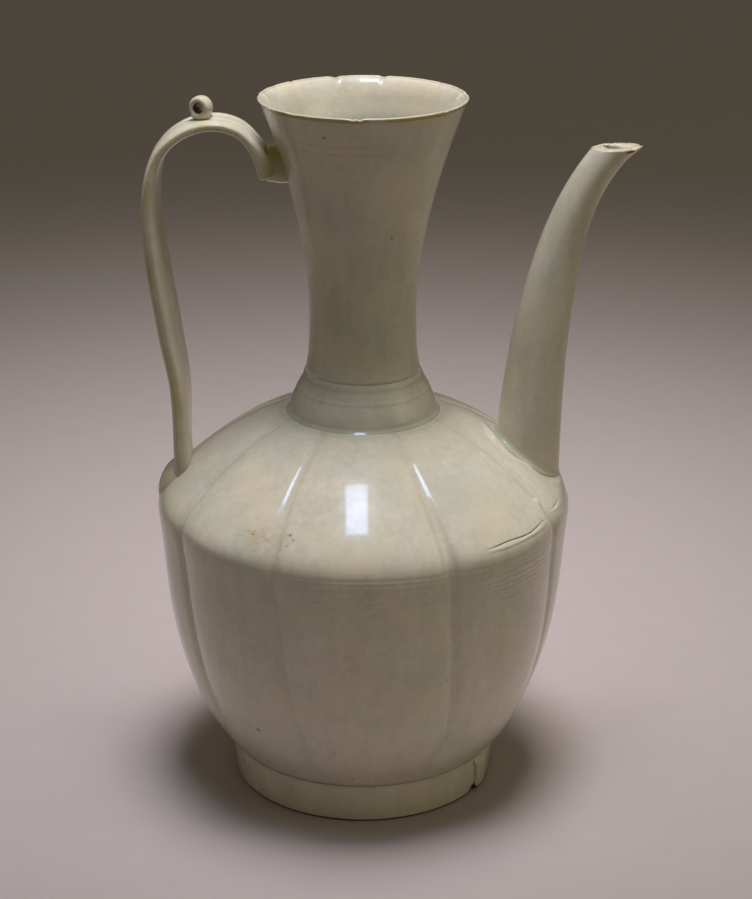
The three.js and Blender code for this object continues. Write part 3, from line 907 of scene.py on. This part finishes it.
def neck():
    """Up the outside, over a half round lip, and down the inside, with chips cut from the lip."""
    lip_half = lip_wall / 2
    levels = spread(neck_level, rim_level - lip_half, 128, ring_levels + [rim_level], 2.0, 5)
    outside = np.stack([neck_radius(levels), levels], -1)
    bend = np.linspace(0, math.pi, 15)[1:-1]
    lip_middle = mouth_radius - lip_half
    lip = np.stack([lip_middle + lip_half * np.cos(bend), rim_level - lip_half + lip_half * np.sin(bend)], -1)
    inner_levels = spread(neck_level, rim_level - lip_half, 50, [rim_level], 4.0, 6)[::-1]
    wall = mixed(neck_wall, lip_wall, np.exp((inner_levels - rim_level) / lip_bevel))
    inner = np.maximum(neck_radius(inner_levels) - wall, neck_waist_radius - neck_wall)
    inside = np.stack([inner, inner_levels], -1)
    outline, (is_outside, _, is_inside) = joined(outside, lip, inside)
    chip_turns = [math.radians(chip[0]) for chip in lip_chips]
    turns = spread(-math.pi, math.pi, 481, chip_turns, 0.05, 2.0)[:-1]
    radius, level = in_columns(outline)

    rings = sum(bell(level, ring + 0.2 * np.sin(turns + 1), 0.4) for ring in ring_levels) * is_outside
    broken = 0
    for turn, half_width, depth in lip_chips:
        away = turned_from(turns, math.radians(turn))
        broken = broken + depth * bell(away * mouth_radius, 0, half_width)
    near_lip = smooth_step(rim_level - 4.0, rim_level - 0.3, level)
    worn = 0.1 * ragged(turns, 0, 9, 23)
    throwing = 0.18 * np.sin(level * 0.75 + turns) * is_inside
    throwing = throwing * smooth_step(rim_level - 3, rim_level - 12, level)
    sway = 0.2 * ragged(turns, level, 60, 29) * smooth_step(neck_level, neck_level + 6, level)
    sway = sway * (1 - 0.7 * smooth_step(rim_level - 10, rim_level, level))
    pushed = radius - 0.07 * rings + throwing + sway
    dropped = level - (broken + np.maximum(worn, 0)) * near_lip
    grid = turned_grid(pushed, turns, dropped)
    top = smooth_step(rim_level - 0.75, rim_level - 0.15, level)
    outer_line = bell(level, rim_level - 1.15, 0.6) * (1 - is_inside)
    # Deeper inside the neck the glaze is painted thicker and greener: partly pooled glaze, partly painted
    # shade.
    deep_pool_and_shade = 0.26 * smooth_step(rim_level - 3, rim_level - 15, level) * is_inside
    chipped = smooth_step(0.1, 0.55, broken) * smooth_step(rim_level - 1.5, rim_level - 0.5, level)
    marks = {
        "thin": np.clip(outer_line * 1.6, 0, 1) * (0.8 + 0.2 * ragged(turns, 0, 25, 43)),
        "bare": np.clip(top * 0.25 + 0.75 * chipped, 0, 1),
        "pool": np.clip(0.14 * rings + 0.12 * bell(level, neck_level, 1.2) * (1 - is_inside) + deep_pool_and_shade, 0, 1),
    }
    return grid, marks


add_piece("neck", *neck(), glazed)

# Spout
# A long tapering tube rolled round a stick, cut to sit on the shoulder, luted there with slip
# and cut off level at its mouth, where the edge is worn to the clay and chipped.
spout_reach = 98.4
spout_mouth_level = rim_level - 17.9
spout_tip_setback = 0.6
spout_tip_overrun = 7.6
spout_root_lean = 1.1
spout_rise_lean = 6
spout_root_radius = 12.5
spout_tip_radius = 6.0
spout_root_wall = 3.2
spout_tip_wall = 3.5
spout_taper_power = 1.2
spout_flare = 0.85
spout_flare_length = 1.1
spout_hollow = 0.95
spout_hollow_share = 0.78
slip_edge = 0.4
spout_lip_push = 1.15
# Chips in the spout's mouth: turn, half width and depth
mouth_chips = [(-0.8, 0.14, 0.6), (0.3, 0.2, 0.5), (-2.3, 0.16, 0.3)]


def spout_line(count):
    """Even points along the spout's middle line, a cubic curve held by four handles in XZ."""
    root = spout_root_radius_from_axis
    handles = np.array(
        [
            (root, seam_level),
            (root + spout_root_lean, mixed(seam_level, spout_mouth_level, 0.375)),
            (root + spout_rise_lean, mixed(seam_level, spout_mouth_level, 0.885)),
            (spout_reach - spout_tip_setback, spout_mouth_level + spout_tip_overrun),
        ]
    )
    t = np.linspace(0, 1, 2001)[:, None]
    weights = [(1 - t) ** 3, 3 * t * (1 - t) ** 2, 3 * t**2 * (1 - t), t**3]
    return even_steps(sum(w * h for w, h in zip(weights, handles)), count)


def shoulder_height(x, y):
    """Level of the lobed shoulder or the bowl's side over a point: its outline read backwards
    at the radius that the point had before the lobes were pressed."""
    radius = np.hypot(x, y)
    level = np.full_like(radius, mixed(seam_level, collar_level, 0.5))
    for _ in range(6):
        before = 2 * radius - pressed_radius(radius, np.arctan2(y, x), level)
        level = np.interp(before, shoulder_outline[::-1, 0], shoulder_outline[::-1, 1])
    return level + slip_mound(x, y, level)


middle_line = spout_line(1201)
middle_line[:, 0] -= spout_hollow * bell(np.linspace(0, 1, 1201), spout_hollow_share, 0.2)
middle_run = run_of(middle_line)


def spout_point(share, turn, radius):
    """A point of the tube: x = line + radius cos turn square to it, y = radius sin turn."""
    numbers = np.clip(share, 0, 1) * (len(middle_line) - 1)
    centre_x, centre_z = np.moveaxis(at_numbers(numbers, middle_line), -1, 0)
    run_x, run_z = np.moveaxis(at_numbers(numbers, middle_run), -1, 0)
    across = radius * np.cos(turn)
    return centre_x + run_z * across, radius * np.sin(turn), centre_z - run_x * across


def spout_share_where(turn, radius_at, is_past):
    """Share of the line at which each turn's edge line passes a surface, by halving steps."""
    low, high = np.zeros_like(turn), np.ones_like(turn)
    for _ in range(40):
        middle = (low + high) / 2
        past = is_past(*spout_point(middle, turn, radius_at(middle)))
        low, high = np.where(past, low, middle), np.where(past, middle, high)
    return (low + high) / 2


def outer_radius(share):
    """Outer radius: a power of the share from root to tip, drawn in below the mouth by a bell."""
    taper = mixed(spout_root_radius, spout_tip_radius, share**spout_taper_power)
    return taper - spout_hollow * bell(share, spout_hollow_share, 0.2)


def bore_radius_along(share):
    """Radius of the bore: the same power of the share, from its root to its mouth."""
    root = spout_root_radius - spout_root_wall
    return mixed(root, spout_tip_radius - spout_tip_wall, share**spout_taper_power)


def spout():
    """Up the outside from the shoulder, over the level mouth and down the bore.

    Rows share out the way from the shoulder to the mouth on each line of the tube, so that both
    ends follow their surfaces. Near the root the tube flares out over the shoulder."""
    turns = np.linspace(-math.pi, math.pi, 144, endpoint=False)
    length = lengths_along(middle_line)[-1]

    def stands_off(x, y, z):
        return z > shoulder_height(x, y) + 0.1

    def mouth_passed(x, y, z):
        return z > spout_mouth_level

    rows = []
    marks = {"pool": [], "bare": [], "thin": [], "crack": []}
    for radius_at, shares, inside in (
        (outer_radius, spread(0, 1, 190, [0, 1], 0.03, 6), False),
        (bore_radius_along, spread(0, 1, 80, [0, 1], 0.03, 3)[::-1], True),
    ):
        root = spout_share_where(turns, radius_at, stands_off)
        mouth = spout_share_where(turns, radius_at, mouth_passed)
        share = mixed(root, mouth, shares[:, None])
        above_root = (share - root) * length
        below_mouth = (mouth - share) * length
        smear = 1 + 0.3 * ragged(turns, 0, 70, 47) - 0.6 * np.clip(np.cos(turns), 0, 1)
        smear = smear + 1.5 * bell(turns, -2.35, 0.45)
        follow = np.exp(-((above_root / spout_flare_length) ** 1.3))
        flare = 0 if inside else spout_flare * smear * follow
        rounding = 0.55 * np.clip(1 - below_mouth / 0.9, 0, 1) ** 2 * (1 if inside else -1)
        radius = radius_at(share)
        unevenness = 0.15 * ragged(turns, share * 130, 45, 31) * smooth_step(2, 12, above_root)
        x, y, z = spout_point(share, turns, radius + flare + rounding + unevenness)
        near_x, near_y, _ = spout_point(share, turns, radius)
        laid = (shoulder_height(x, y) - shoulder_height(near_x, near_y)) * follow
        laid = laid + slip_edge * (1 - np.exp(-above_root / 0.25)) * follow
        z = z + laid * (0 if inside else 1)
        edge = smooth_step(2.2, 0.2, below_mouth)
        chip = sum(depth * bell(turns, turn, width) for turn, width, depth in mouth_chips)
        z = z - chip * edge * 0.8 - 0.12 * ragged(turns, 0, 6, 37) * edge
        push = spout_lip_push * np.clip(np.cos(turns), 0, 1) * (0.3 if inside else 1)
        x = x + push * bell(below_mouth, 0, 3.5)
        burnt = bell(turns, -0.9, 0.26) * bell(below_mouth, 1.3, 0.9) * (0 if inside else 1)
        rows.append(points_from(x, y, z))
        right = np.clip(np.cos(turns) * 0.7 - np.sin(turns) * 0.5, 0, 1)
        back = np.clip(-np.cos(turns), 0, 1)
        at_root = (0.14 + 0.22 * right + 0.4 * back) * bell(above_root, 0.8, 1.8)
        marks["pool"].append(0.5 * smooth_step(0.5, 4, below_mouth) if inside else at_root)
        marks["bare"].append(0.3 * smooth_step(1.0, 0.2, below_mouth))
        worn = 0.36 + 0.07 * ragged(turns, 0, 14, 53) + 0.5 * chip
        marks["thin"].append(bell(below_mouth, 0.6, 1.2) * worn)
        marks["crack"].append(burnt)
    grid = np.concatenate(rows)
    return grid, {mark: np.clip(np.concatenate(parts), 0, 1) for mark, parts in marks.items()}


add_piece("spout", *spout(), glazed)

# Handle strap
# A flat strap of clay with three soft ridges drawn along its outer face. It leaves the neck,
# arches over and comes down to the edge of the shoulder.
handle_reach = 75.7
crown_level = rim_level - 9.4
root_level = rim_level - 27.8
root_gap = 6.0
rise_gap = 9.6
handle_foot_radius = seam_radius - 8.35
strap_width = 17.5
strap_crown_thickness = 3.8
strap_foot_thickness = 5.6
strap_root_thickness = 6.4
strap_twist = math.radians(12)
ridge_height = 0.55
neck_side = float(neck_radius(np.array(root_level)))
strap_knots = [
    (-neck_side - root_gap, root_level),
    (-neck_side - rise_gap, mixed(root_level, crown_level, 0.47)),
    (-handle_reach * 0.575, mixed(root_level, crown_level, 0.875)),
    (-handle_reach * 0.7, crown_level),
    (-handle_reach * 0.842, mixed(root_level, crown_level, 0.83)),
    (-handle_reach * 0.953, mixed(root_level, crown_level, 0.36)),
    (-handle_reach * 1.003, mixed(seam_level, crown_level, 0.797)),
    (-handle_reach * 0.992, mixed(seam_level, crown_level, 0.644)),
    (-mixed(handle_foot_radius, handle_reach, 0.53), mixed(seam_level, crown_level, 0.457)),
    (-mixed(handle_foot_radius, handle_reach, 0.09), mixed(seam_level, crown_level, 0.293)),
    (-handle_foot_radius, mixed(seam_level, crown_level, 0.135)),
    (-handle_foot_radius - 0.2, mixed(seam_level, crown_level, 0.04)),
]
strap_line = even_steps(curve_through(strap_knots, 1200), 420)


def squared_off(value, power):
    """A sine or cosine, or points of a ball, filled out towards a box by a power below 1."""
    return np.sign(value) * np.abs(value) ** power


def strap_section(count):
    """The strap's section in shares of half its thickness and half its width.

    A rounded oblong (fourth power oval). Its outer face rises and falls as a cosine, in three
    ridges that fade towards the edges."""
    turn = np.linspace(0, 2 * math.pi, count, endpoint=False)
    out = squared_off(np.cos(turn), 0.6)
    side = squared_off(np.sin(turn), 0.5)
    ridges = smooth_step(0.2, 0.8, out) * np.cos(2.7 * math.pi * side) * (1 - side**6)
    return out, side, ridges


def swept(line, half_thick, half_wide, out, side):
    """A section carried along a line in XZ: out is taken square to the line, side along Y."""
    run = run_of(line)
    x = line[:, :1] + run[:, 1:] * out * half_thick
    z = line[:, 1:] - run[:, :1] * out * half_thick
    return points_from(x, side * half_wide, z)


def handle_strap():
    """The ridged section carried down the handle's line, with its two ends rounded off."""
    out, side, ridges = strap_section(120)
    share = np.linspace(0, 1, len(strap_line))[:, None]
    step = lengths_along(strap_line)[-1] / (len(strap_line) - 1)
    from_end = np.minimum(np.arange(len(strap_line)), np.arange(len(strap_line))[::-1])[:, None] * step
    thick = mixed(strap_crown_thickness, strap_foot_thickness, smooth_step(0.15, 0.6, share)) / 2
    thick = mixed(thick, strap_root_thickness / 2, smooth_step(0.1, 0.0, share))
    inset = 1.3 * (1 - np.sqrt(1 - np.clip(1 - from_end / 1.3, 0, 1) ** 2))
    wide = strap_width / 2 - inset + 0.18 * ragged(share * 6, 0, 30, 41)
    thick = np.maximum(thick - inset, 0.05)
    relief = ridge_height * ridges * smooth_step(0, 3, from_end)
    grid = swept(strap_line, thick, wide, out + relief / thick, side)
    twist = strap_twist * smooth_step(0.2, 0.55, share) * (1 - 0.85 * smooth_step(0.62, 0.95, share))
    x, y = grid[..., 0] - strap_line[:, :1], grid[..., 1].copy()
    grid[..., 0] = strap_line[:, :1] + x * np.cos(twist) + (y + strap_width / 2) * np.sin(twist)
    grid[..., 1] = y * np.cos(twist) - x * np.sin(twist)
    valleys = np.clip(-ridges, 0, 1)
    edges = smooth_step(0.86, 1.0, np.abs(side)) * smooth_step(0.1, 0.5, out)
    inner_foot = smooth_step(0, -0.8, out) * smooth_step(0.5, 0.7, share)
    root_pool = bell(from_end, 0, 2.5) + 2.0 * bell(from_end, 3, 5.5) * inner_foot
    side_face = smooth_step(0.75, 0.95, np.abs(side)) * bell(out, 0, 0.6)
    marks = {
        "pool": np.clip(0.3 * valleys + 0.25 * root_pool + 0.12 * side_face, 0, 1),
        "thin": 0.3 * edges + 0.4 * side_face,
    }
    return grid, marks


add_piece("handle_strap", *handle_strap(), glazed, rows_meet=False)

# Upper pad
# The wad of slip and clay squeezed between the strap's turned-down end and the neck. Thick
# glaze has gathered on it, dark green; near its top, in the recess between strap and neck, the
# extra darkening is partly painted shade.
upper_pad_depth = 16
upper_pad_width = 14
upper_pad_height = 13
upper_pad_outset = 3
upper_pad_drop = 2.4
upper_pad_sag = 0.5
upper_pad_sink = 0.15


def ball(rows, columns):
    """Unit sphere points: rows from pole to pole, columns round the upright axis."""
    climb = np.linspace(-math.pi / 2, math.pi / 2, rows + 2)[1:-1][:, None]
    turn = np.linspace(0, 2 * math.pi, columns, endpoint=False)
    return turned_grid(np.cos(climb), turn, np.sin(climb))


def moved_out(points, skin):
    """Points that lie nearer to the axis than the skin's radius, moved straight out to it."""
    radius = np.hypot(points[..., 0], points[..., 1])
    factor = np.maximum(skin / np.maximum(radius, 0.01), 1)
    return points * points_from(factor, factor, 1)


def upper_pad():
    """An oval wad, hollowed where it meets the neck and cut flat behind the strap's middle."""
    points = ball(70, 100)
    points = squared_off(points, (0.7, 0.7, 0.85))
    points = points * (upper_pad_depth / 2, upper_pad_width / 2, upper_pad_height / 2)
    middle = upper_pad_height / 2
    points = points + (-neck_side - upper_pad_outset, 0, root_level + middle - upper_pad_drop)
    towards_neck = smooth_step(-neck_side - 5, -neck_side - 0.5, points[..., 0])
    low = smooth_step(root_level + middle, root_level, points[..., 2])
    points[..., 2] -= upper_pad_sag * towards_neck * low
    points[..., 0] = np.maximum(points[..., 0], strap_line[0, 0] - 0.4)
    points = moved_out(points, neck_radius(points[..., 2]) - upper_pad_sink)
    # Near the pad's top, in the recess between strap and neck, the glaze is painted thicker and browner:
    # partly pooled glaze, partly painted shade.
    recess_pool_and_shade = bell(points[..., 2], root_level + 9, 3.5)
    return points, {"pool": 0.3 + 0.3 * recess_pool_and_shade, "thin": 0.42 + 0.2 * recess_pool_and_shade}


add_piece("handle_upper_pad", *upper_pad(), glazed, rows_meet=False)

# Foot pad
# The strap's lower end, pressed on the shoulder and folded out over its edge as a thick tongue.
foot_pad_height = 20.5
foot_pad_width = 18
foot_pad_thickness = 14
foot_pad_tilt = math.radians(24)
foot_pad_outset = 1.9
foot_pad_lift = 3.6
foot_pad_sink = 0.25


def body_radius(turn, level):
    """Outer radius of the pressed pot at a turn and level, from its outline and the lobes."""
    whole = np.concatenate([body_outline, shoulder_outline[1:]])
    return pressed_radius(radius_at_level(whole, level), turn, level)


def foot_pad():
    """A tilted oval tongue, pushed out of the pot where it would lie inside it."""
    points = ball(90, 110)
    points = squared_off(points, (1, 0.8, 1))
    points = points * (foot_pad_thickness / 2, foot_pad_width / 2, foot_pad_height / 2)
    x, z = points[..., 0].copy(), points[..., 2].copy()
    points[..., 0] = x * math.cos(foot_pad_tilt) + z * math.sin(foot_pad_tilt)
    points[..., 2] = z * math.cos(foot_pad_tilt) - x * math.sin(foot_pad_tilt)
    points = points + (-handle_foot_radius - foot_pad_outset, 0, seam_level + foot_pad_lift)
    skin = body_radius(np.arctan2(points[..., 1], points[..., 0]), points[..., 2])
    draped = moved_out(points, skin - foot_pad_sink)
    buried = np.abs(draped - points).sum(-1) > 0.01
    return draped, {"pool": np.where(buried, 0.35, 0.15), "thin": 0.38}


add_piece("handle_foot_pad", *foot_pad(), glazed, rows_meet=False)

# Tie loop
# A bored bead of clay on a small saddle on the strap's crown. A lid's cord would pass through it.
loop_radius = 4.15
loop_hole_radius = 1.3
loop_length = 5.0
loop_yaw = math.radians(25)
loop_sink = 0.1
loop_position = 0.19
loop_shift = 0.4


def tie_loop():
    """A thick ring round the Y axis, whose section is an oval of the fourth power."""
    crown_x, crown_z = at_numbers(loop_position * (len(strap_line) - 1), strap_line)
    section = np.linspace(0, 2 * math.pi, 48, endpoint=False)[:, None]
    turn = np.linspace(0, 2 * math.pi, 96, endpoint=False)
    middle = (loop_radius + loop_hole_radius) / 2
    thick = (loop_radius - loop_hole_radius) / 2
    across = squared_off(np.cos(section), 0.8)
    along = squared_off(np.sin(section), 0.8)
    radius = middle + thick * across
    x = radius * np.cos(turn)
    y = loop_length / 2 * along
    turned_x = crown_x + loop_shift + x * math.cos(loop_yaw) + y * math.sin(loop_yaw)
    turned_y = y * math.cos(loop_yaw) - x * math.sin(loop_yaw)
    z = crown_z + strap_crown_thickness / 2 + loop_radius - loop_sink + radius * np.sin(turn)
    foot = smooth_step(loop_hole_radius + 0.6, loop_radius, radius) * smooth_step(-0.5, -1, np.sin(turn))
    turned_x = turned_x + foot * 1.6 * np.clip(np.cos(turn) * 3, -0.6, 1)
    # Inside the hole the glaze is thin and brown with a little pooling, and the dark colour laid over it is
    # painted shade.
    hole_glaze_and_shade = np.clip((-np.cos(section) - 0.25) * 3.0, 0, 1)
    return points_from(turned_x, turned_y, z), {"pool": hole_glaze_and_shade * 0.3, "thin": hole_glaze_and_shade, "crack": hole_glaze_and_shade * 0.88}


add_piece("tie_loop", *tie_loop(), glazed)
